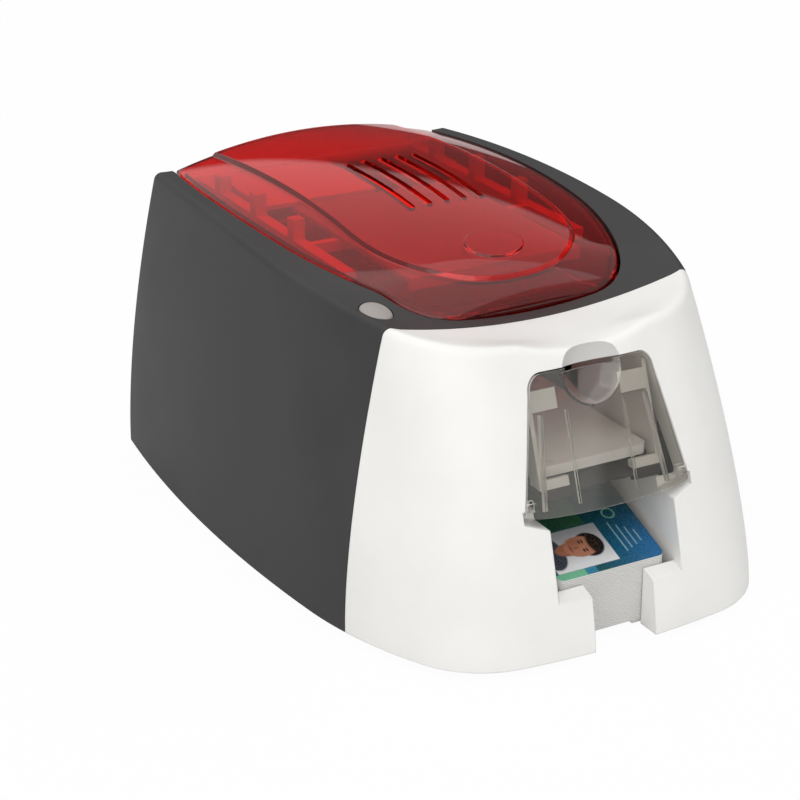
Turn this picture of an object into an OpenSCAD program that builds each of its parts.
// Desktop ID card printer: grey casing, white front, hinged translucent lid, hinged feeder door.
// Millimetres. Z is up, the front looks towards -Y, the origin is under the middle of the base.

/* [Body] */
// Length of the body from the front of the base to the rear wall
body_len = 300; // [285:1:320]
// Width of the base at its widest
body_w = 223; // [210:1:236]
// Width at shoulder height at its widest
shoulder_w = 184; // [176:1:194]
// Distance from the front of the base to its widest point
widest_y = 190; // [175:1:205]
// Distance from the front of the base to the widest point of the shoulders
shoulder_widest_y = 158; // [150:1:175]
// Set-back of the upper edge of the front face
front_setback = 37; // [34:0.5:41]
// Gap between the table and the bottom edge of the shells
base_gap = 4; // [3:0.5:6]
// Height of the shoulder line at its highest
shoulder_h = 147.5; // [142:0.5:152]
// Drop of the shoulder line towards the front seam
shoulder_front_drop = 10; // [6:0.5:13]
// Drop of the shoulder line towards the rear
shoulder_rear_drop = 3; // [1:0.5:5]
// Depth of the dip in front of the lid, below the shoulders
saddle_drop = 19; // [16:0.5:22]
// Wall thickness of the moulded shells
wall = 2.6; // [2:0.1:3.2]
// Radius of the rounded shoulder
shoulder_r = 3; // [1.5:0.5:4]
// Seam between the grey casing and the white front, at the base
seam_y = 67.5; // [62:0.5:72]
// Backward lean of the seam over the height of the body
seam_lean = 8.6; // [5:0.2:12]
// Gap between neighbouring shells
seam_gap = 0.4; // [0.3:0.1:0.8]

/* [Lid] */
// Distance from the front of the base to the front edge of the lid
lid_front_y = 84.5; // [82:0.5:88]
// Width of the casing left beside the lid, at its widest
lid_margin = 12.7; // [11:0.1:17]
// Rise of the crown of the lid above the shoulders
lid_rise = 12.8; // [10:0.1:16]
// Drop of the middle of the lid towards the rear edge
lid_rear_drop = 5.8; // [3:0.1:8]
// Wall thickness of the lid
lid_wall = 2.4; // [2:0.1:3]
// Gap round the lid
lid_gap = 1.4; // [0.6:0.1:1.6]
// Depth of the turned-down edge of the lid
lid_skirt = 5; // [3.5:0.5:6]
// Width of the raised tongue
tongue_w = 104; // [96:1:110]
// Distance from the front of the lid to the front of the tongue
tongue_inset = 10; // [8:0.5:14]
// Height of the raised tongue
tongue_h = 1.2; // [0.8:0.1:1.6]
// Number of vent slots
slot_count = 5; // [3:1:6]
// Spacing of the vent slots
slot_pitch = 9; // [8:0.5:10]
// Width of a vent slot
slot_w = 3; // [2:0.2:4]
// Length of a vent slot
slot_len = 66; // [50:1:72]
// Distance from the front of the base to the front end of the slots
slot_y = 155; // [150:1:160]
// Width of the oval press pad
pad_w = 28; // [24:1:32]
// Length of the oval press pad
pad_len = 20; // [18:1:24]
// Distance from the front of the lid to the middle of the press pad
pad_inset = 30; // [27:0.5:32]
// Height of the press pad above the tongue
pad_h = 0.6; // [0.4:0.1:1]
// Radius of the hinge barrel under the rear edge of the lid
barrel_r = 3; // [2.8:0.1:3.4]
// Distance from the rear wall to the lid hinge axis
hinge_inset = 4; // [3.8:0.1:4.6]
// Radius of the lid hinge pins
hinge_pin_r = 2; // [1.6:0.1:2.2]

/* [Feeder door] */
// Height of the door pivots
door_pivot_h = 68.5; // [66:0.5:70]
// Distance between the ends of the door pins
door_pin_span = 88; // [86:0.5:90]
// Width of the door at the pivots
door_low_w = 80; // [76:1:82]
// Width of the door near its top
door_top_w = 62; // [58:1:66]
// Height left between the top of the door and the dip behind it
door_top_gap = 6.9; // [6:0.1:9]
// Thickness of the door
door_t = 2.2; // [1.8:0.1:2.6]
// Radius of the round thumb scoop shared by the door and the front
scoop_r = 14.8; // [13:0.2:15.6]
// Depth of the thumb scoop
scoop_depth = 6; // [5:0.2:6.4]
// Radius of the door pins
door_pin_r = 1.5; // [1.2:0.1:1.8]
// Gap between the door and the shell
door_gap = 0.8; // [0.6:0.1:1.2]

/* [Cards and output bay] */
// Length of a card
card_len = 85.6; // [85.4:0.1:85.8]
// Width of a card
card_w = 54; // [53.8:0.1:54.2]
// Thickness of a card
card_t = 0.76; // [0.7:0.02:0.82]
// Corner radius of a card
card_r = 3.2; // [2.8:0.1:3.6]
// Room left between the card stack and the feeder floor above its rear edge
stack_room = 5; // [4:0.5:20]
// Spacing of the cards in the stack
card_pitch = 0.8; // [0.8:0.01:0.84]
// Tilt of the output tray, rising towards the rear
tray_tilt = 20; // [18:0.5:21]
// Width of the output bay
bay_w = 63; // [60:0.5:64]
// Height of the roof edge of the bay
bay_top_h = 60; // [58:0.5:62]
// Height of the front edge of the stop ledges
ledge_h = 27.6; // [25:0.2:29]
// Thickness of the stop behind the front face, measured from the front of the base
stop_y = 12; // [11:0.2:13]
// Width of the finger slot
finger_w = 31; // [28:0.5:34]

/* [Button] */
// Radius of the power button
button_r = 7.2; // [6:0.1:8]
// Distance of the button from the middle of the body
button_x = 70; // [68:0.5:72]
// Distance of the button from the front of the base
button_y = 95; // [93:0.5:98]
// Travel of the button
button_travel = 0.8; // [0.5:0.1:1]

/* [Drive] */
// Depth of the card bed below the shoulders
bed_drop = 49.5; // [48:0.5:52]
// Half the distance between the side plates
plate_x = 44; // [42:0.5:46]
// Thickness of the side plates
plate_t = 1.2; // [1:0.1:1.6]
// Distance from the front of the base to the pick roller
pick_y = 102; // [101:0.5:104]
// Distance from the front of the base to the feed roller
feed_y = 130; // [129:0.5:131]
// Distance from the front of the base to the platen roller
platen_y = 178; // [175:0.5:181]
// Radius of the pick roller
pick_r = 7.5; // [7:0.1:8]
// Radius of the feed roller
feed_r = 7; // [6.5:0.1:7.5]
// Radius of the platen roller
platen_r = 8; // [7:0.1:9]
// Radius of the roller shafts
shaft_r = 2.5; // [2:0.1:3]
// Gear module
gear_module = 1; // [1:0.25:1]
// Teeth on each gear of the pair
gear_teeth = 32; // [32:1:33]
// Width of a gear
gear_t = 5; // [4:0.5:6]
// Play between gear teeth
gear_play = 0.3; // [0.2:0.05:0.4]
// Running clearance in bores, measured on the radius
run_gap = 0.05; // [0.03:0.01:0.08]

/* [Hidden] */

// ---- outlines made of tangent arcs: [radius, direction at the end of the arc] ----
base_head = [[370, 8], [45, 62], [185, 83]];
base_tail_r = 800;
top_head = [[162, 14.8], [54.3, 69.3], [210.6, 89.5]];
top_tail_r = 1100;
past_rear = 6;
lid_head = [[900, 2.2], [33, 63], [190, 84]];
lid_tail_r = 480;
lid_arcs = concat(lid_head, [[lid_tail_r, 100]]);
body_steps = [4, 9, 5, 9];
lid_steps = [3, 8, 5, 7];
rear_steps = 6;

function arc_start(arcs, k) = k == 0 ? 0 : arcs[k - 1][1];
function arc_x(arcs, k) = k == 0 ? 0
    : arc_x(arcs, k - 1) + arcs[k - 1][0] * (sin(arcs[k - 1][1]) - sin(arc_start(arcs, k - 1)));
function arc_y(arcs, k) = k == 0 ? 0
    : arc_y(arcs, k - 1) + arcs[k - 1][0] * (cos(arc_start(arcs, k - 1)) - cos(arcs[k - 1][1]));
// point of arc k where the outline travels in direction a
function arc_point(arcs, k, a) = [
    arc_x(arcs, k) + arcs[k][0] * (sin(a) - sin(arc_start(arcs, k))),
    arc_y(arcs, k) + arcs[k][0] * (cos(arc_start(arcs, k)) - cos(a)),
    a
];
// right half of an outline from the middle of the front to the rear: [x, y, direction]
function half_outline(arcs, steps) = concat([[0, 0, 0]], [
    for (k = [0 : len(arcs) - 1]) for (i = [1 : steps[k]])
        arc_point(arcs, k, arc_start(arcs, k) + (arcs[k][1] - arc_start(arcs, k)) * i / steps[k])
]);
// reach of an outline sideways, and how far back that is, when an arc of radius r follows its head
function widest(head, r) = let (k = len(head)) arc_x(head, k) + r * (1 - sin(head[k - 1][1]));
function y_of_widest(head, r) = let (k = len(head)) arc_y(head, k) + r * cos(head[k - 1][1]);
// the head with a last arc of radius r that turns on past the rear wall, reach being the length left for it
function with_tail(head, r, reach) = concat(head, [[r, 90 + asin(reach / r)]]);
// closed ring: right half from front to rear, then the left half back to the front
function mirrored(half) = concat(half,
    [for (k = [len(half) - 1 : -1 : 1]) [-half[k][0], half[k][1], half[k][2]]]);

// ---- outer skin of the body ----
rear_y = body_len;
far = 400;
saddle_h = shoulder_h - saddle_drop;
base_x_scale = body_w / 2 / widest(base_head, base_tail_r);
top_x_scale = shoulder_w / 2 / widest(top_head, top_tail_r);
base_y_scale = widest_y / y_of_widest(base_head, base_tail_r);
top_y_scale = (shoulder_widest_y - front_setback) / y_of_widest(top_head, top_tail_r);
base_reach = (body_len + past_rear - widest_y) / base_y_scale;
top_reach = (body_len + past_rear - shoulder_widest_y) / top_y_scale;
base_raw = half_outline(with_tail(base_head, base_tail_r, base_reach), body_steps);
top_raw = half_outline(with_tail(top_head, top_tail_r, top_reach), body_steps);
half_count = len(base_raw);
shape_h = shoulder_h - base_gap;
nose_h = saddle_h - base_gap;
side_power = 1.7;
nose_power = 1.35;
crest_y = 220;
front_blend = 30;

// point i of the right half outline at height z, moved inwards by w
function skin_x(i, z) = let (b = base_raw[i][0] * base_x_scale, t = top_raw[i][0] * top_x_scale)
    b + (t - b) * pow(max(z - base_gap, 0) / shape_h, side_power);
function skin_y(i, z) = let (b = base_raw[i][1] * base_y_scale,
    t = front_setback + top_raw[i][1] * top_y_scale)
    b + (t - b) * pow(max(z - base_gap, 0) / nose_h, nose_power);
function skin_point(i, z, w) = let (a = base_raw[i][2])
    [i == 0 ? 0 : skin_x(i, z) - w * sin(a), skin_y(i, z) + w * cos(a), z];
// distance from the front of the skin at height z and sideways distance x
function front_at(x, z) = lookup(x, [for (i = [0 : half_count - 1]) [skin_x(i, z), skin_y(i, z)]]);

shoulder_table = [for (i = [0 : half_count - 1]) [skin_y(i, shoulder_h), skin_x(i, shoulder_h)]];
function shoulder_half(y) = max(lookup(y, shoulder_table), front_blend);
function shoulder_at(y) = y < crest_y
    ? shoulder_h - shoulder_front_drop * pow((crest_y - y) / 140, 2)
    : shoulder_h - shoulder_rear_drop * pow((y - crest_y) / 80, 2);
function smooth(s) = let (t = min(max(s, 0), 1)) t * t * (3 - 2 * t);
function saddle_at(y) = saddle_h + (shoulder_at(y) - 1.5 - saddle_h) * smooth((y - lid_front_y) / 26);
// height of the top of the body
function top_at(x, y) = saddle_at(y) + (shoulder_at(y) - saddle_at(y)) * min(pow(x / shoulder_half(y), 2), 1);

side_levels = [0.04, 0.2, 0.4, 0.6, 0.8, 0.93];
round_angles = [0, 30, 60, 90];
top_shares = [0.93, 0.8, 0.6, 0.35];
fan_y = 160;
function shoulder_start(i, w) = top_at(skin_x(i, shoulder_h), skin_y(i, shoulder_h)) - w - shoulder_r;
function side_ring(u, w) = [for (i = [0 : half_count - 1])
    skin_point(i, base_gap + u * (shoulder_start(i, w) - base_gap), w)];
function round_ring(a, w) = [for (i = [0 : half_count - 1])
    skin_point(i, shoulder_start(i, w) + shoulder_r * sin(a), w + shoulder_r * (1 - cos(a)))];
function top_ring(s, w) = [for (p = round_ring(90, w))
    let (x = p[0] * s, y = fan_y + (p[1] - fan_y) * s) [x, y, top_at(x, y) - w]];
lean = atan(seam_lean / shape_h);

// ---- lid ----
lid_top_h = shoulder_h + lid_rise;
lid_w = shoulder_w - 2 * lid_margin;
lid_raw = half_outline(lid_arcs, lid_steps);
lid_x_scale = lid_w / 2 / widest(lid_head, lid_tail_r);
lid_rear_y = rear_y - 0.8;
lid_y_scale = (lid_rear_y - lid_front_y) / lid_raw[len(lid_raw) - 1][1];
lid_half = [for (p = lid_raw) [p[0] * lid_x_scale, lid_front_y + p[1] * lid_y_scale, p[2]]];
lid_table = [for (p = lid_half) [p[1], p[0]]];
lid_crest_y = 205;
lid_fan_y = 200;
lid_shares = [1, 0.985, 0.95, 0.88, 0.78, 0.65, 0.5, 0.33, 0.16];
edge_round = 0.8;
function lid_half_w(y) = max(lookup(y, lid_table), 1);
function lid_mid(y) = y < lid_crest_y
    ? saddle_h + (lid_top_h - saddle_h)
        * sqrt(1 - pow(min((lid_crest_y - y) / (lid_crest_y - lid_front_y), 1), 2))
    : lid_top_h - lid_rear_drop * pow((y - lid_crest_y) / (lid_rear_y - lid_crest_y), 2);
function lid_edge(y) = top_at(lid_half_w(y), y);
function lid_at(x, y) = lid_mid(y) - (lid_mid(y) - lid_edge(y)) * min(pow(x / lid_half_w(y), 2), 1);
// right half of the rim moved inwards by w, with points across half of the rear edge
function lid_rim(w) = let (
        side = [for (p = lid_half) [max(p[0] - w * sin(p[2]), 0), min(p[1] + w * cos(p[2]), lid_rear_y - w)]],
        last = side[len(side) - 1])
    concat(side, [for (k = [1 : rear_steps]) [last[0] * (1 - k / (rear_steps + 0.5)), lid_rear_y - w]]);
function lid_ring(s, w, lift) = [for (p = lid_rim(w))
    let (x = p[0] * s, y = lid_fan_y + (p[1] - lid_fan_y) * s)
    [x, y, lid_at(x, y) - w + lift - (s == 1 ? edge_round : 0)]];
lid_low_z = saddle_h - 14;

// ---- cards and output bay ----
face_gap = 0.3;
tray_t = 2;
pan_t = 2.5;
pan_top = base_gap + pan_t;
bay_half = bay_w / 2;
bay_wall_t = 2;
stack_y = stop_y + 0.6;
tray_front_z = base_gap + 2.2;
tray_len = card_len + 3;
tray_rear_z = tray_front_z + card_len * sin(tray_tilt);
card_count = floor((shoulder_h - bed_drop - 28 - stack_room - tray_rear_z) * cos(tray_tilt) / card_pitch) - 1;
bay_depth_y = stack_y + tray_len * cos(tray_tilt) + 2;
tray_leg_y = stack_y + tray_len * cos(tray_tilt) - 6;
tray_leg_z = tray_front_z + (tray_leg_y - stack_y) * tan(tray_tilt) - tray_t / cos(tray_tilt);

// ---- feeder ----
door_tilt = atan2(front_at(0, saddle_h - 10) - front_at(0, door_pivot_h), saddle_h - 10 - door_pivot_h);
door_h = (saddle_h - door_top_gap - door_pivot_h) / cos(door_tilt);
low_half = door_low_w / 2;
top_half = door_top_w / 2;
door_face_y = front_at(0, door_pivot_h) + 0.4;
door_bow_r = 330;
function bow(x) = door_bow_r - sqrt(pow(door_bow_r, 2) - pow(x, 2));
door_y = door_face_y + bow(low_half) + door_t + door_pin_r - 0.7;
door_boss_x = low_half + 2.8;
door_boss_w = 6;
rib_h = door_h - 17;
scoop_z = door_h - 2.4;
scoop_wall = 2.2;
ball_r = (pow(scoop_r, 2) + pow(scoop_depth, 2)) / 2 / scoop_depth;
ball_y = scoop_depth - ball_r;
sill_half = low_half + 2.5;
tray_floor_z = shoulder_h - bed_drop - 28;
tray_floor_t = 2;
feed_half = card_w / 2 + 1.5;
feed_wall_t = 2;
feed_wall_top = shoulder_h - bed_drop + 18;
feeder_front_y = door_y + 3;
feeder_rear_y = 104;
feed_wall_y1 = 92;
lifter_y = feeder_front_y + 10;
lifter_z = tray_floor_z + 4.4;
lifter_t = 1.5;
lifter_pin_r = 1.6;
lifter_top = lifter_z + lifter_pin_r + 0.1;
lifter_len = 75;
stop_x = 16;
stop_back = door_t + bow(low_half) + 2.2;
stop_tall = 9;
stop_zs = [(tray_floor_z + 0.8 - door_pivot_h) / cos(door_tilt),
    (feed_wall_top - 9.5 - door_pivot_h) / cos(door_tilt)];
spare_y = lifter_y - 4;
spare_count = 6;

// ---- shells ----
hinge_y = rear_y - hinge_inset;
hinge_h = lid_edge(lid_rear_y) - lid_skirt - barrel_r - 0.2;
rear_wall_top = hinge_h - barrel_r - 1;
lid_swing_r = 8;
boss_x = lid_half_w(hinge_y - lid_swing_r) + face_gap;
boss_w = 7;
panel_half_w = 62;
panel_low = 12;
panel_high = 92;
panel_lip = 1.8;
foot_r = 9;
foot_stem_r = 4;
foot_places = [for (side = [-1, 1], p = [[72, 50], [88, rear_y - 32]]) [side * p[0], p[1]]];

// ---- chassis ----
plate_y0 = 96;
plate_y1 = rear_y - 12;
plate_low_z = 10;
plate_top_z = hinge_h - 10;
plate_out = plate_x + plate_t;
plate_foot_ys = [118, 200, plate_y1 - 10];
plate_foot_w = 9;
spool_y = [238, 142];
spool_z = [plate_top_z - 4, plate_top_z - 2];
spool_end_r = 4;
spool_roll_r = [14, 9];
bed_h = shoulder_h - bed_drop;
bed_t = 2;
bed_y0 = feed_y - 14;
bed_y1 = plate_y1 - 4;
bed_lip = 18;
bed_top = bed_h - 0.2;
bed_half = feed_half + 1.5;
feed_z = bed_h - feed_r - 0.1;
platen_z = bed_h - platen_r - 0.1;
gear_pitch_r = gear_module * gear_teeth / 2;
pick_z = feed_z + sqrt(pow(2 * gear_pitch_r, 2) - pow(feed_y - pick_y, 2));
gear_line = atan2(pick_z - feed_z, feed_y - pick_y);
gear_x = plate_out + 1.4;
card_gap = 0.14;
pinch_r = 5;
pinch_z = bed_h + card_t + card_gap + pinch_r;
clean_y = 149;
clean_r = 6;
clean_z = bed_h + card_t + card_gap + clean_r;
small_shaft_r = 2;
bush_r = 5;
bush_holes = [[pick_y, pick_z], [feed_y, feed_z], [platen_y, platen_z]];
pin_holes = [[feed_y, pinch_z], [clean_y, clean_z]];
bar_r = 3;
flap_y = 146;
flap_z = bed_h - 3.2;
flap_len = 20;
flap_pin_r = 1.5;
ramp_y = 98;
ramp_z = bed_h - 36;
bar_places = [[112, ramp_z - 8], [plate_y1 - 6, bed_h + 14], [plate_y1 - 6, 32], [165, 26]];
ramp_tilt = 23;
ramp_len = 64;
ramp_t = 1.5;
motor_y = 215;
motor_z = 52;
motor_half = 21;
motor_len = 34;
motor_boss_r = 11;
pulley_x0 = -60;
pulley_x1 = -51;
motor_pulley_r = 8;
feed_pulley_r = 9;
platen_pulley_r = 11;
belt_t = 1.2;

// ---- ribbon, head and lid frame ----
film_t = 0.3;
film_z = bed_h + card_t + 0.5;
film_half = card_w / 2 + 1;
cover_z = hinge_h + 3;
head_half = 5;
head_z = film_z + film_t + 0.35;
head_h = 10;
arm_x = 57;
arm_w = 6;
arm_y = platen_y - 40;
arm_low = hinge_h - 2;
arm_high = hinge_h + 3;
stem_h = 8.2;
sink_h = arm_low - stem_h - head_z - head_h;
post_ys = [platen_y + 12, 230, rear_y - 30];
ear_gap = 0.6;
ear_x1 = boss_x - ear_gap;
pin_in = 7;

// ---- button, electronics ----
button_top_z = top_at(button_x, button_y) + 0.6;
button_cap_h = 5;
switch_z = button_top_z - 22;
board_t = 1.6;
board_z = 14;
board_top = board_z + board_t;
board_half = 40;
board_front_y = 184;
board_rear_y = rear_y - wall - panel_lip - 0.6;
board_posts = [for (x = [-1, 1], y = [board_front_y + 6, board_rear_y - 7]) [x * (board_half - 6), y]];
inlet_x = 28;
inlet_w = 12;
inlet_h = 12;
port_x = 6;
port_w = 13;
port_h = 11;
fan_z = 64;
fan_half = 20;
fan_depth = 10;
fan_y1 = rear_y - wall - panel_lip;
fan_y0 = fan_y1 - fan_depth;
fan_hub_r = 8;
fan_pin_r = 1.5;

// ---- helpers ----
module from_front() {
    translate([0, -body_len / 2, 0]) children();
}
module block(x0, x1, y0, y1, z0, z1) {
    translate([x0, y0, z0]) cube([x1 - x0, y1 - y0, z1 - z0]);
}
module rod(x0, x1, y, z, r) {
    translate([x0, y, z]) rotate([0, 90, 0]) cylinder(h = x1 - x0, r = r, $fn = 48);
}
module both_sides() {
    children();
    mirror([1, 0, 0]) children();
}
module stadium(width, length) {
    translate([-width / 2, 0]) square([width, length]);
    circle(d = width, $fn = 32);
    translate([0, length]) circle(d = width, $fn = 32);
}
// solid from a flat first ring through rings of equal length to an apex
module ring_solid(rings, apex) {
    n = len(rings[0]);
    m = len(rings);
    points = concat([for (r = rings) for (p = r) [p[0], p[1], p[2]]], [apex]);
    faces = concat(
        [[for (k = [0 : n - 1]) k]],
        [for (j = [0 : m - 2]) for (k = [0 : n - 1]) each
            let (a = j * n + k, b = j * n + (k + 1) % n)
            [[a, a + n, b], [b, a + n, b + n]]],
        [for (k = [0 : n - 1]) [(m - 1) * n + k, m * n, (m - 1) * n + (k + 1) % n]]
    );
    polyhedron(points, faces, convexity = 6);
}

// ---- outer surfaces as solids ----
// the body shape moved inwards by w, down to height from_z
module skin_solid(w, from_z) {
    foot = [for (i = [0 : half_count - 1]) let (p = skin_point(i, base_gap, w)) [p[0], p[1], from_z]];
    ring_solid(concat(
        [mirrored(foot)],
        [for (u = side_levels) mirrored(side_ring(u, w))],
        [for (a = round_angles) mirrored(round_ring(a, w))],
        [for (s = top_shares) mirrored(top_ring(s, w))]
    ), [0, fan_y, top_at(0, fan_y) - w]);
}
module shell_body() {
    difference() {
        skin_solid(0, base_gap);
        difference() {
            skin_solid(wall, base_gap - 1);
            block(-far, far, rear_y - wall, far, -1, far);
        }
        block(-far, far, rear_y, far, -1, far);
    }
}
// everything behind the leaning seam moved back by g
module behind_seam(g) {
    translate([0, seam_y + g, base_gap]) rotate([-lean, 0, 0]) translate([-far / 2, 0, -far / 2]) cube(far);
}
// the lid shape moved inwards by w and raised by lift, above a lower rim that follows its edge
module lid_solid(w, depth, lift) {
    low = [for (p = lid_rim(w)) [p[0], p[1], lid_low_z]];
    rim = [for (p = lid_half) [p[1], lid_edge(p[1]) - depth]];
    last = rim[len(rim) - 1];
    intersection() {
        ring_solid(concat([mirrored(low)], [for (s = lid_shares) mirrored(lid_ring(s, w, lift))]),
            [0, lid_fan_y, lid_at(0, lid_fan_y) - w + lift]);
        translate([-far / 2, 0, 0]) rotate([90, 0, 90]) linear_extrude(far)
            polygon(concat([[0, far], [0, rim[0][1]]], rim, [[far, last[1]], [far, far]]));
    }
}
// upright column over the lid outline grown by g
module lid_column(g) {
    half = [for (p = lid_half) [p[0] + g * sin(p[2]), p[1] - g * cos(p[2])]];
    translate([0, 0, saddle_h - 20]) linear_extrude(far)
        polygon([for (p = mirrored([for (k = [0 : len(half) - 1])
            [k == 0 ? 0 : half[k][0], half[k][1], 0]])) [p[0], p[1]]]);
}

// ---- base ----
module pan_outline() {
    half = [for (i = [0 : half_count - 1]) skin_point(i, base_gap, wall + face_gap)];
    rear = rear_y - wall - face_gap;
    kept = [for (p = half) if (p[1] < rear - 1) p];
    ring = concat(kept, [[lookup(rear, [for (p = half) [p[1], p[0]]]), rear, 0]]);
    polygon([for (p = mirrored([for (p = ring) [p[0], p[1], 0]])) [p[0], p[1]]]);
}
module base_pan() {
    color([0.16, 0.16, 0.17]) from_front() {
        difference() {
            translate([0, 0, base_gap]) linear_extrude(pan_t) pan_outline();
            block(-bay_half - bay_wall_t - face_gap, bay_half + bay_wall_t + face_gap, -10,
                stack_y + 9, 0, 20);
            for (p = foot_places) translate([p[0], p[1], 0])
                cylinder(h = 20, r = foot_stem_r + run_gap, $fn = 32);
        }
        both_sides() for (y = plate_foot_ys)
            block(plate_out - plate_foot_w, plate_out, y - 5, y + 5, pan_top - 0.5, plate_low_z);
        for (p = board_posts)
            translate([p[0], p[1], pan_top - 0.5]) cylinder(h = board_z - pan_top + 0.5, r = 3, $fn = 24);
        both_sides() block(bay_half - 6, bay_half - 3, tray_leg_y, tray_leg_y + 3, pan_top - 0.5, tray_leg_z);
    }
}
module rubber_feet() {
    color([0.1, 0.1, 0.1]) from_front() for (p = foot_places) translate([p[0], p[1], 0]) {
        cylinder(h = base_gap, r = foot_r, $fn = 40);
        cylinder(h = pan_top + 1, r = foot_stem_r, $fn = 32);
    }
}

// ---- shells ----
module casing() {
    color([0.27, 0.27, 0.27]) from_front() {
        difference() {
            intersection() {
                shell_body();
                behind_seam(seam_gap / 2);
            }
            difference() {
                lid_column(lid_gap);
                block(-far, far, rear_y - wall - 0.1, far, 0, far);
            }
            block(-boss_x, boss_x, hinge_y - lid_swing_r, far, rear_wall_top, far);
            block(-panel_half_w, panel_half_w, rear_y - 8, far, panel_low, panel_high);
            translate([-button_x, button_y, 100]) cylinder(h = 100, r = button_r + 0.4, $fn = 48);
        }
        both_sides() difference() {
            block(boss_x, boss_x + boss_w, hinge_y - 5, rear_y - wall + 0.5, hinge_h - 5, hinge_h + 5);
            rod(boss_x - 1, boss_x + boss_w - 1, hinge_y, hinge_h, hinge_pin_r + 0.02);
        }
        for (x = [-button_x - 6.5, -button_x + 6.5])
            block(x - 1, x + 1, button_y + button_r + 1.4, button_y + button_r + 4.4, switch_z - 4,
                top_at(abs(x), button_y + button_r + 3) - wall / 2);
    }
}
module rear_panel() {
    color([0.2, 0.2, 0.21]) from_front() difference() {
        union() {
            block(-panel_half_w + 0.2, panel_half_w - 0.2, rear_y - wall - 0.1, rear_y - 0.4,
                panel_low + 0.2, panel_high - 0.2);
            block(-panel_half_w - 3, panel_half_w + 3, rear_y - wall - panel_lip, rear_y - wall,
                panel_low - 3, panel_high + 3);
        }
        for (i = [0 : 8]) block(-18, 18, rear_y - 10, rear_y + 1, fan_z - 17 + 4 * i, fan_z - 15 + 4 * i);
        block(inlet_x - inlet_w / 2, inlet_x + inlet_w / 2, rear_y - 10, rear_y + 1, board_top - 0.2,
            board_top + inlet_h + 0.3);
        block(port_x - port_w / 2, port_x + port_w / 2, rear_y - 10, rear_y + 1, board_top - 0.2,
            board_top + port_h + 0.3);
    }
}

// ---- door ----
// frame of the door: x across, y away from its face, z up along it
module on_door(y) {
    translate([0, y, door_pivot_h]) rotate([-door_tilt, 0, 0]) children();
}
// outline of the door grown by g
module door_outline(g) {
    top_z = door_h - 8;
    polygon(concat(
        [for (a = [-90 : 10 : 90]) [(low_half + 1 + g) * sin(a), -1.5 - (3.5 + g) * cos(a)]],
        [for (a = [5 : 17 : 90]) [top_half - 6 + (6 + g) * cos(a), top_z + (8 + g) * sin(a)]],
        [for (a = [90 : 17 : 175]) [-top_half + 6 + (6 + g) * cos(a), top_z + (8 + g) * sin(a)]]
    ));
}
module door_column(g, y0, y1) {
    translate([0, y1, 0]) rotate([90, 0, 0]) linear_extrude(y1 - y0) door_outline(g);
}
// upright cylinder whose front line is y0 behind the middle of the door face
module door_bow(y0) {
    translate([0, door_bow_r, -30]) cylinder(h = door_h + 60, r = door_bow_r - y0, $fn = 180);
}
module door_rib(x0, x1, t, depth) {
    intersection() {
        translate([0, 20, 0]) rotate([90, 0, 0]) linear_extrude(20)
            polygon([[x0 - t / 2, -1], [x0 + t / 2, -1], [x1 + t / 2, rib_h], [x1 - t / 2, rib_h]]);
        door_bow(door_t - 0.3);
        translate([0, bow(x0), 0]) block(-far, far, 0, door_t + depth, -far / 2, far / 2);
    }
}
// ball that presses the thumb scoop into the door and the front
module scoop_ball(g) {
    translate([0, ball_y, scoop_z]) sphere(r = ball_r + g, $fn = 96);
}
module feeder_door() {
    color([0.55, 0.54, 0.53, 0.6]) from_front() {
        on_door(door_face_y) {
            difference() {
                union() {
                    difference() {
                        intersection() {
                            door_column(0, -2, 30);
                            door_bow(0);
                        }
                        door_bow(door_t);
                    }
                    intersection() {
                        scoop_ball(scoop_wall);
                        door_bow(0.6);
                        block(-far, far, 0, far, 0, scoop_z + 0.7);
                    }
                }
                scoop_ball(0);
            }
            both_sides() {
                door_rib(14.4, 14.4, 1, 1.2);
                door_rib(30.9, 26.2, 1.2, 2.4);
            }
        }
        both_sides() {
            rod(low_half - 4, door_pin_span / 2, door_y, door_pivot_h, door_pin_r);
            block(low_half - 4, low_half, door_y - door_pin_r - 1.2, door_y + door_pin_r,
                door_pivot_h - door_pin_r,
                door_pivot_h + 3);
        }
    }
}
module front_shell() {
    color([0.93, 0.93, 0.92]) from_front() {
        difference() {
            union() {
                difference() {
                    shell_body();
                    behind_seam(-seam_gap / 2);
                }
                bay_blocks();
                intersection() {
                    skin_solid(0.2, base_gap);
                    on_door(door_face_y) {
                        door_column(door_gap + 2, 0.4, 13.8);
                        intersection() {
                            scoop_ball(scoop_wall);
                            block(-far, far, 0.4, far, door_h, far);
                        }
                    }
                }
            }
            on_door(door_face_y) {
                door_column(door_gap, -12, 14);
                scoop_ball(0);
            }
            sill_cut();
            block(-bay_half, bay_half, -20, 40, ledge_h + 8, door_pivot_h);
            translate([-bay_half, 2.5, ledge_h]) rotate([tray_tilt, 0, 0])
                translate([0, -20, 0]) cube([bay_w, 60, 30]);
            block(-finger_w / 2, finger_w / 2, -20, stop_y + 5, 0, ledge_h + 20);
            both_sides() rod(door_boss_x - 2, door_boss_x + 3, door_y, door_pivot_h, door_pin_r + run_gap);
        }
    }
}
// stops in front of the cards, walls beside them and bosses for the door pins
module bay_blocks() {
    intersection() {
        skin_solid(wall / 2, base_gap);
        both_sides() {
            block(finger_w / 2 - 1, bay_half + bay_wall_t, -5, stop_y, base_gap, ledge_h + 9);
            block(bay_half, bay_half + bay_wall_t, -5, bay_depth_y, pan_top + 0.3, bay_top_h + 4);
            block(bay_half, door_boss_x + door_boss_w, -5, door_y + 8, bay_top_h - 6, bay_top_h + 4);
            block(door_boss_x, door_boss_x + door_boss_w, door_y - 8, door_y + 6, door_pivot_h - 5,
                door_pivot_h + 5);
        }
    }
}
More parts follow.
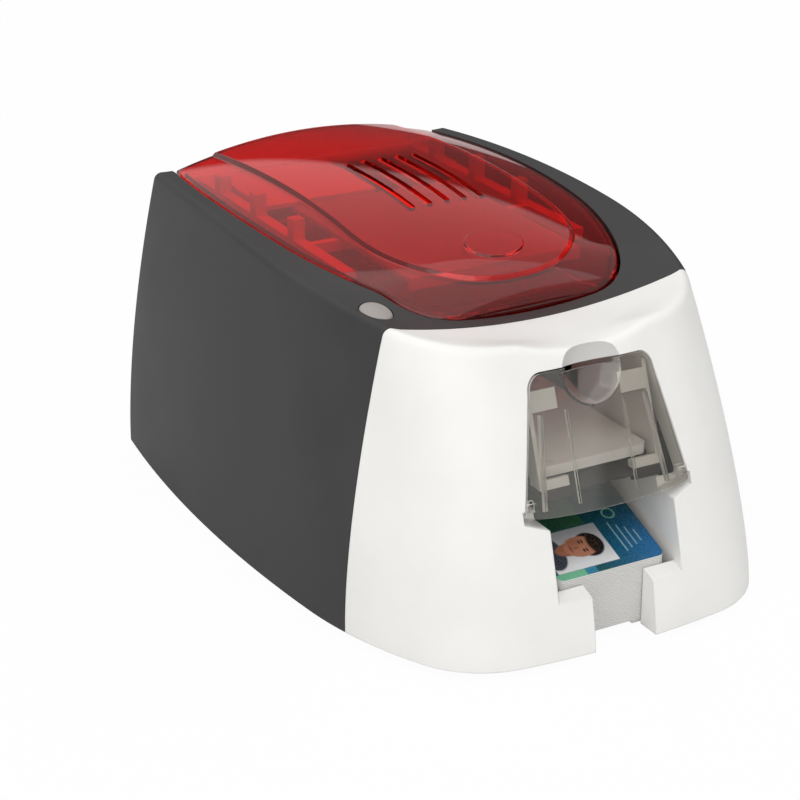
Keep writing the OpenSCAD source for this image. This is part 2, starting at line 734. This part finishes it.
// room below the door for its lower edge to swing through, widening from the bay to the pins
module sill_cut() {
    translate([0, door_y + 6, 0]) rotate([90, 0, 0]) linear_extrude(door_y + 26) polygon([
        [-bay_half, bay_top_h - 0.5], [bay_half, bay_top_h - 0.5], [sill_half, bay_top_h + 3.2],
        [sill_half, door_pivot_h], [-sill_half, door_pivot_h], [-sill_half, bay_top_h + 3.2]
    ]);
}

// ---- output bay ----
// places things on the sloping tray: x across, y along it, z away from it
module on_tray(lift) {
    translate([0, stack_y, tray_front_z + lift / cos(tray_tilt)]) rotate([tray_tilt, 0, 0]) children();
}
module output_tray() {
    color([0.9, 0.9, 0.89]) from_front() difference() {
        on_tray(0) block(-bay_half + 0.4, bay_half - 0.4, 0, tray_len, -tray_t, 0);
        on_tray(0) translate([0, -4, -10]) cylinder(h = 20, r = finger_w / 2 - 3, $fn = 64);
        block(-far, far, -far, far, -far, base_gap + 0.2);
    }
}
module card_body() {
    linear_extrude(card_t) union() {
        translate([-card_w / 2 + card_r, 0]) square([card_w - 2 * card_r, card_len]);
        translate([-card_w / 2, card_r]) square([card_w, card_len - 2 * card_r]);
        for (x = [-1, 1], y = [card_r, card_len - card_r])
            translate([x * (card_w / 2 - card_r), y]) circle(r = card_r, $fn = 32);
    }
}
module blank_cards() {
    color([0.95, 0.95, 0.94]) from_front()
        for (k = [0 : card_count - 1]) on_tray(0.02 + k * card_pitch) card_body();
}
module printed_card() {
    color([0.0, 0.36, 0.47]) from_front() on_tray(0.02 + card_count * card_pitch) card_body();
}

// ---- feeder ----
module feeder_tray() {
    color([0.86, 0.86, 0.85]) from_front() difference() {
        union() {
            block(-feed_half - feed_wall_t, feed_half + feed_wall_t, feeder_front_y, feeder_rear_y,
                tray_floor_z, tray_floor_z + tray_floor_t);
            both_sides() {
                block(feed_half, feed_half + feed_wall_t, feeder_front_y, feed_wall_y1, tray_floor_z,
                    feed_wall_top);
                block(feed_half + 1, low_half + 4, feeder_front_y + 23, feeder_front_y + 25,
                    tray_floor_z, feed_wall_top - 4);
                block(feed_half + 1, plate_x, feeder_rear_y - 8, feeder_rear_y - 2, tray_floor_z,
                    tray_floor_z + tray_floor_t);
            }
            block(-feed_half - 1, feed_half + 1, feed_wall_y1 - 2, feed_wall_y1, bed_h + 6, feed_wall_top);
            on_door(door_face_y) both_sides() for (z = stop_zs)
                block(stop_x, feed_half + 1, stop_back, stop_back + 3, z, z + stop_tall);
        }
        on_door(door_face_y) block(-far, far, -far, stop_back, -20, far);
        both_sides() rod(feed_half - 1, feed_half + 3, lifter_y, lifter_z, lifter_pin_r + run_gap);
    }
}
module card_lifter() {
    color([0.35, 0.36, 0.38]) from_front() {
        difference() {
            block(-feed_half + 1, feed_half - 1, lifter_y, lifter_y + lifter_len,
                lifter_top - lifter_t, lifter_top);
            block(-8, 8, lifter_y + lifter_len - 34, lifter_y + lifter_len - 6, lifter_z - 2, lifter_z + 4);
        }
        rod(-feed_half - feed_wall_t + 0.3, feed_half + feed_wall_t - 0.3, lifter_y, lifter_z, lifter_pin_r);
    }
}

module feeder_cards() {
    color([0.95, 0.95, 0.94]) from_front() for (k = [0 : spare_count - 1])
        translate([0, spare_y, lifter_top + 0.02 + k * card_pitch]) card_body();
}

// ---- chassis ----
module side_plate() {
    difference() {
        union() {
            block(plate_x, plate_out, plate_y0, plate_y1, plate_low_z, plate_top_z);
            for (y = plate_foot_ys)
                block(plate_out - plate_foot_w, plate_out, y - 5, y + 5, plate_low_z, plate_low_z + plate_t);
        }
        for (p = bush_holes) rod(plate_x - 1, plate_out + 1, p[0], p[1], bush_r + 0.02);
        for (p = pin_holes) rod(plate_x - 1, plate_out + 1, p[0], p[1], small_shaft_r + run_gap);
        for (k = [0, 1]) {
            rod(plate_x - 1, plate_out + 1, spool_y[k], spool_z[k], spool_end_r + run_gap);
            block(plate_x - 1, plate_out + 1, spool_y[k] - spool_end_r - run_gap,
                spool_y[k] + spool_end_r + run_gap,
                spool_z[k], far);
        }
        rod(plate_x - 1, plate_out + 1, motor_y, motor_z, motor_boss_r + 0.1);
        block(plate_x - 1, plate_out + 1, plate_y1 - 44, plate_y1 - 14, 46, bed_h - 14);
    }
}
module left_side_plate() {
    color([0.72, 0.73, 0.74]) from_front() mirror([1, 0, 0]) side_plate();
}
module right_side_plate() {
    color([0.72, 0.73, 0.74]) from_front() side_plate();
}
module tie_bars() {
    color([0.6, 0.61, 0.62]) from_front() for (p = bar_places) rod(-plate_x, plate_x, p[0], p[1], bar_r);
}
module roller_bushes() {
    color([0.75, 0.6, 0.3]) from_front() both_sides() for (p = bush_holes) difference() {
        union() {
            rod(plate_x - 1.5, plate_x, p[0], p[1], bush_r + 1.2);
            rod(plate_x - 1, plate_out + 0.6, p[0], p[1], bush_r);
        }
        rod(plate_x - 3, plate_out + 2, p[0], p[1], shaft_r + run_gap);
    }
}
module card_bed() {
    color([0.3, 0.31, 0.33]) from_front() difference() {
        union() {
            block(-bed_half, bed_half, bed_y0, bed_y1, bed_top - bed_t, bed_top);
            both_sides() {
                block(feed_half, bed_half, bed_y0, bed_y1, bed_h - 1, bed_h + 2);
                for (y = [bed_y0 + 3, bed_y1 - 22])
                    block(bed_half - 1, plate_x, y, y + 4, bed_top - bed_t, bed_top);
                block(feed_half, bed_half, flap_y - 4, flap_y + 4, flap_z - 3.5, bed_h);
            }
            block(-bed_half, bed_half, bed_y0, bed_y0 + 1.6, bed_h - bed_lip, bed_top);
        }
        block(-22, 22, feed_y - feed_r - 2, feed_y + feed_r + 2, bed_h - bed_lip, bed_h + bed_lip);
        block(-feed_half, feed_half, platen_y - platen_r - 1, platen_y + platen_r + 1, bed_h - bed_lip,
            bed_h + bed_lip);
        block(-feed_half, feed_half, flap_y - 3, platen_y - platen_r, bed_h - bed_lip, bed_h + bed_lip);
        block(-bed_half - 1, bed_half + 1, clean_y - 5, clean_y + 5, bed_h + 0.5, bed_h + bed_lip);
        both_sides() rod(feed_half - 1, bed_half + 1, flap_y, flap_z, flap_pin_r + run_gap);
    }
}
module exit_flap() {
    color([0.2, 0.21, 0.22]) from_front() {
        block(-feed_half + 0.6, feed_half - 0.6, flap_y - 1, flap_y + flap_len, bed_h - 2.2, bed_h - 0.4);
        rod(-bed_half + 0.2, bed_half - 0.2, flap_y, flap_z, flap_pin_r);
    }
}
module exit_ramp() {
    color([0.25, 0.26, 0.27]) from_front() translate([0, ramp_y, ramp_z]) rotate([ramp_tilt, 0, 0]) {
        block(-feed_half - 0.5, feed_half + 0.5, 0, ramp_len, 0, ramp_t);
        both_sides() block(feed_half, bed_half, 0, ramp_len, 0, 4);
        both_sides() block(feed_half + 1, plate_x, 40, 46, 0, ramp_t);
    }
}

// ---- rollers and drive ----
module pulley(y, z, r) {
    rod(pulley_x0, pulley_x0 + 1, y, z, r + 1.6);
    rod(pulley_x0, pulley_x1, y, z, r);
    rod(pulley_x1 - 1, pulley_x1, y, z, r + 1.6);
}
// gear with straight-sided teeth; at turn 0 one tooth points forwards along +Y
module gear(y, z, turn) {
    step = 360 / gear_teeth;
    tip = gear_pitch_r + 0.85 * gear_module;
    root = gear_pitch_r - 1.15 * gear_module;
    quarter = step / 4 - gear_play / gear_pitch_r * 90 / PI;
    translate([gear_x, y, z]) rotate([turn, 0, 0]) rotate([90, 0, 90]) linear_extrude(gear_t)
        polygon([for (k = [0 : gear_teeth - 1])
            for (q = [[root, -1.5], [tip, -0.45], [tip, 0.45], [root, 1.5]])
            let (a = k * step + q[1] * quarter) [q[0] * cos(a), q[0] * sin(a)]]);
}
module pick_roller() {
    color([0.2, 0.2, 0.2]) from_front() {
        rod(-plate_out - 2, gear_x + gear_t, pick_y, pick_z, shaft_r);
        rod(-12, 12, pick_y, pick_z, pick_r);
        gear(pick_y, pick_z, -gear_line);
    }
}
module feed_roller() {
    color([0.2, 0.2, 0.2]) from_front() {
        rod(pulley_x0, gear_x + gear_t, feed_y, feed_z, shaft_r);
        rod(-20, 20, feed_y, feed_z, feed_r);
        pulley(feed_y, feed_z, feed_pulley_r);
        gear(feed_y, feed_z, 180 - gear_line + 180 / gear_teeth);
    }
}
module pinch_roller() {
    color([0.5, 0.5, 0.5]) from_front() {
        rod(-plate_out - 0.7, plate_out + 0.7, feed_y, pinch_z, small_shaft_r);
        both_sides() rod(6, 18, feed_y, pinch_z, pinch_r);
    }
}
module cleaning_roller() {
    color([0.2, 0.35, 0.6]) from_front() {
        rod(-plate_out - 0.7, plate_out + 0.7, clean_y, clean_z, small_shaft_r);
        rod(-27, 27, clean_y, clean_z, clean_r);
    }
}
module platen_roller() {
    color([0.15, 0.15, 0.15]) from_front() {
        rod(pulley_x0, plate_out + 2, platen_y, platen_z, shaft_r);
        rod(-27.5, 27.5, platen_y, platen_z, platen_r);
        pulley(platen_y, platen_z, platen_pulley_r);
    }
}
module main_motor() {
    color([0.3, 0.3, 0.32]) from_front() difference() {
        union() {
            block(-plate_x, -plate_x + motor_len, motor_y - motor_half, motor_y + motor_half,
                motor_z - motor_half, motor_z + motor_half);
            rod(-plate_out - 1, -plate_x + 1, motor_y, motor_z, motor_boss_r);
        }
        rod(-plate_x - 5, -plate_x + motor_len - 4, motor_y, motor_z, shaft_r + run_gap);
    }
}
module motor_pulley() {
    color([0.7, 0.7, 0.7]) from_front() {
        rod(pulley_x0 - 1, -plate_x + motor_len - 5, motor_y, motor_z, shaft_r);
        pulley(motor_y, motor_z, motor_pulley_r);
    }
}
// outline round the three pulleys, g away from their rims
module belt_loop(g) {
    hull() {
        translate([feed_y, feed_z]) circle(r = feed_pulley_r + g, $fn = 48);
        translate([platen_y, platen_z]) circle(r = platen_pulley_r + g, $fn = 48);
        translate([motor_y, motor_z]) circle(r = motor_pulley_r + g, $fn = 48);
    }
}
module drive_belt() {
    color([0.08, 0.08, 0.08]) from_front() translate([pulley_x0 + 1.4, 0, 0]) rotate([90, 0, 90])
        linear_extrude(pulley_x1 - pulley_x0 - 2.8) difference() {
            belt_loop(0.1 + belt_t);
            belt_loop(0.1);
        }
}

// ---- ribbon ----
module spool(k) {
    rod(-plate_out - 1.4, plate_out + 1.4, spool_y[k], spool_z[k], spool_end_r);
    rod(-plate_x + 2, plate_x - 2, spool_y[k], spool_z[k], spool_end_r + 3);
    rod(-film_half - 1, film_half + 1, spool_y[k], spool_z[k], spool_roll_r[k]);
}
module supply_spool() {
    color([0.75, 0.62, 0.15]) from_front() spool(0);
}
module takeup_spool() {
    color([0.2, 0.2, 0.22]) from_front() spool(1);
}
module film_strip(y0, z0, y1, z1) {
    length = sqrt(pow(y1 - y0, 2) + pow(z1 - z0, 2));
    translate([-film_half, y0, z0]) rotate([atan2(z1 - z0, y1 - y0), 0, 0])
        cube([2 * film_half, length, film_t]);
}
module ribbon_film() {
    color([0.3, 0.2, 0.3]) from_front() {
        film_strip(platen_y - 6.2, film_z, platen_y + 6.2, film_z);
        film_strip(platen_y + 6, film_z, spool_y[0] + 2, spool_z[0] - spool_roll_r[0] - 0.6);
        film_strip(spool_y[1] + 4, spool_z[1] - spool_roll_r[1] - 0.3, platen_y - 6, film_z);
    }
}
// light cover over the rear of the compartment, standing on the left plate
module ribbon_cover() {
    color([0.85, 0.84, 0.83]) from_front() {
        block(-arm_x + 1.5, 4, plate_y1 - 56, plate_y1 - 2, cover_z, cover_z + 2);
        block(-plate_out - 5, -plate_x, plate_y1 - 26, plate_y1 - 2, plate_top_z, plate_top_z + 3);
        block(-plate_out - 5, -plate_out - 1, plate_y1 - 26, plate_y1 - 2, plate_top_z, cover_z + 1);
    }
}

// ---- lid ----
module tongue_column() {
    y0 = lid_front_y + tongue_inset;
    depth = 62;
    half = [for (a = [0 : 6 : 90])
        [tongue_w / 2 * pow(sin(a), 0.87), y0 + depth * (1 - pow(cos(a), 0.87)), 0]];
    translate([0, 0, saddle_h - 10]) linear_extrude(far)
        polygon([for (p = mirrored(concat(half, [[tongue_w / 2, far, 0]]))) [p[0], p[1]]]);
}
module pad_column() {
    translate([0, lid_front_y + pad_inset, lid_low_z]) linear_extrude(90)
        scale([pad_w / 2, pad_len / 2]) circle(1, $fn = 40);
}
module lid() {
    color([0.7, 0.12, 0.12, 0.7]) from_front() difference() {
        union() {
            lid_solid(0, lid_skirt, 0);
            intersection() {
                lid_solid(1.5, 2, 1.5 + tongue_h);
                tongue_column();
            }
            intersection() {
                lid_solid(1.5, 2, 1.5 + tongue_h + pad_h);
                pad_column();
            }
        }
        lid_solid(lid_wall, lid_skirt + 6, 0);
        for (i = [0 : slot_count - 1])
            translate([(i - (slot_count - 1) / 2) * slot_pitch, slot_y, saddle_h])
                linear_extrude(60) stadium(slot_w, slot_len);
    }
}
function post_top(y) = lid_at(arm_x + arm_w, y > lid_crest_y ? y + 3 : y - 3) - lid_wall - 0.4;
module lid_frame() {
    color([0.15, 0.15, 0.16]) from_front() difference() {
        union() {
            rod(-ear_x1, ear_x1, hinge_y, hinge_h, barrel_r);
            both_sides() {
                block(arm_x, arm_x + arm_w, arm_y, hinge_y, arm_low, arm_high);
                for (y = post_ys) block(arm_x, arm_x + arm_w, y - 3, y + 3, arm_high - 1, post_top(y));
            }
            block(-arm_x - 1, arm_x + 1, platen_y, platen_y + 4, arm_low, arm_high);
            block(-16, 16, platen_y, platen_y + 4, head_z + head_h + sink_h + 0.05, arm_low + 1);
        }
        both_sides() rod(ear_x1 - pin_in - 0.5, ear_x1 + 1, hinge_y, hinge_h, hinge_pin_r + run_gap);
    }
}
module hinge_pins() {
    color([0.6, 0.6, 0.62]) from_front() both_sides()
        rod(ear_x1 - pin_in, boss_x + boss_w - 1.2, hinge_y, hinge_h, hinge_pin_r);
}
module head_cover() {
    color([0.5, 0.5, 0.5]) from_front() {
        block(-plate_x, plate_x, arm_y - 26, plate_y1 - 62, arm_high, arm_high + 2);
        block(-plate_x, plate_x, arm_y - 26, arm_y - 24, arm_high - 3, arm_high + 1);
    }
}
module print_head() {
    color([0.4, 0.4, 0.42]) from_front() {
        block(-32, 32, platen_y - head_half, platen_y + head_half, head_z + 2, head_z + head_h);
        block(-27, 27, platen_y - 2, platen_y + 2, head_z, head_z + 2.5);
    }
}
module heat_sink() {
    color([0.65, 0.66, 0.68]) from_front() {
        block(-32, 32, platen_y - 6, platen_y + 6, head_z + head_h, head_z + head_h + 3);
        for (k = [0 : 12])
            block(-31 + 5 * k, -29 + 5 * k, platen_y - 6, platen_y + 6, head_z + head_h + 2,
                head_z + head_h + sink_h);
    }
}

// ---- button ----
module power_button() {
    color([0.68, 0.67, 0.66]) from_front() translate([-button_x, button_y, 0]) {
        translate([0, 0, button_top_z - button_cap_h]) cylinder(h = button_cap_h, r = button_r, $fn = 64);
        translate([0, 0, switch_z + button_travel + 0.1])
            cylinder(h = button_top_z - button_cap_h - switch_z, r = 2.5, $fn = 32);
    }
}
module button_switch() {
    color([0.1, 0.35, 0.2]) from_front() translate([-button_x, button_y, 0]) {
        block(-9, 9, -8, button_r + 5, switch_z - 5.6, switch_z - 4);
        block(-3, 3, -3, 3, switch_z - 4.1, switch_z - 0.6);
        translate([0, 0, switch_z - 1]) cylinder(h = 1, r = 1.5, $fn = 24);
    }
}

// ---- electronics ----
module main_board() {
    color([0.05, 0.35, 0.2]) from_front() block(-board_half, board_half, board_front_y, board_rear_y,
        board_z, board_top);
}
module board_parts() {
    color([0.1, 0.1, 0.1]) from_front() {
        block(-20, 0, 200, 220, board_top, board_top + 2);
        block(10, 24, 200, 212, board_top, board_top + 3);
        for (k = [0 : 3]) translate([-30 + 9 * k, board_rear_y - 25, board_top])
            cylinder(h = 9, r = 4, $fn = 32);
        for (k = [0 : 4]) block(-34 + 14 * k, -26 + 14 * k, 188, 193, board_top, board_top + 6);
        block(-34, -26, 225, 255, board_top, board_top + 5);
    }
}
module power_inlet() {
    color([0.08, 0.08, 0.08]) from_front() difference() {
        block(inlet_x - inlet_w / 2 + 0.2, inlet_x + inlet_w / 2 - 0.2, rear_y - 15, rear_y - 0.6,
            board_top, board_top + inlet_h);
        translate([inlet_x, rear_y - 11, board_top + inlet_h / 2]) rotate([-90, 0, 0])
            cylinder(h = 20, r = 3.2, $fn = 48);
    }
}
module data_port() {
    color([0.8, 0.8, 0.8]) from_front() difference() {
        block(port_x - port_w / 2 + 0.2, port_x + port_w / 2 - 0.2, rear_y - 17, rear_y - 0.6,
            board_top, board_top + port_h);
        block(port_x - 4.2, port_x + 4.2, rear_y - 12, rear_y + 1, board_top + 1.6, board_top + 9.4);
    }
}
// cylinder along +Y on the fan axis
module fan_disc(y, t, r) {
    translate([0, y, fan_z]) rotate([-90, 0, 0]) cylinder(h = t, r = r, $fn = 64);
}
module fan_frame() {
    color([0.1, 0.1, 0.11]) from_front() {
        difference() {
            block(-fan_half, fan_half, fan_y0, fan_y1, fan_z - fan_half, fan_z + fan_half);
            fan_disc(fan_y0 - 1, fan_depth + 2, fan_half - 1);
        }
        block(-fan_half + 0.5, fan_half - 0.5, fan_y1 - 1.5, fan_y1, fan_z - 1.5, fan_z + 1.5);
        fan_disc(fan_y1 - 1.5, 1.5, fan_hub_r);
        fan_disc(fan_y0 + 2, fan_depth - 3, fan_pin_r);
    }
}
module fan_rotor() {
    color([0.15, 0.15, 0.16]) from_front() difference() {
        union() {
            fan_disc(fan_y0 + 0.5, fan_depth - 2.6, fan_hub_r);
            for (k = [0 : 6]) translate([0, fan_y0 + 1, fan_z]) rotate([0, k * 360 / 7, 0])
                translate([fan_hub_r - 1, 0, -0.8]) rotate([20, 0, 0]) cube([10.4, 6, 1.2]);
        }
        fan_disc(fan_y0 + 1.9, fan_depth, fan_pin_r + run_gap);
    }
}
module base_screws() {
    color([0.5, 0.5, 0.52]) from_front() both_sides() for (y = plate_foot_ys)
        translate([plate_x - 4, y, plate_low_z + plate_t]) difference() {
            cylinder(h = 2, r = 2.8, $fn = 32);
            translate([0, 0, 1]) cylinder(h = 2, r = 1.2, $fn = 6);
        }
}

base_pan();
rubber_feet();
casing();
front_shell();
rear_panel();
output_tray();
blank_cards();
printed_card();
feeder_tray();
feeder_door();
card_lifter();
feeder_cards();
left_side_plate();
right_side_plate();
tie_bars();
card_bed();
exit_ramp();
exit_flap();
pick_roller();
feed_roller();
pinch_roller();
cleaning_roller();
platen_roller();
roller_bushes();
main_motor();
motor_pulley();
drive_belt();
supply_spool();
takeup_spool();
ribbon_film();
ribbon_cover();
lid();
lid_frame();
hinge_pins();
head_cover();
print_head();
heat_sink();
power_button();
button_switch();
main_board();
board_parts();
power_inlet();
data_port();
fan_frame();
fan_rotor();
base_screws();
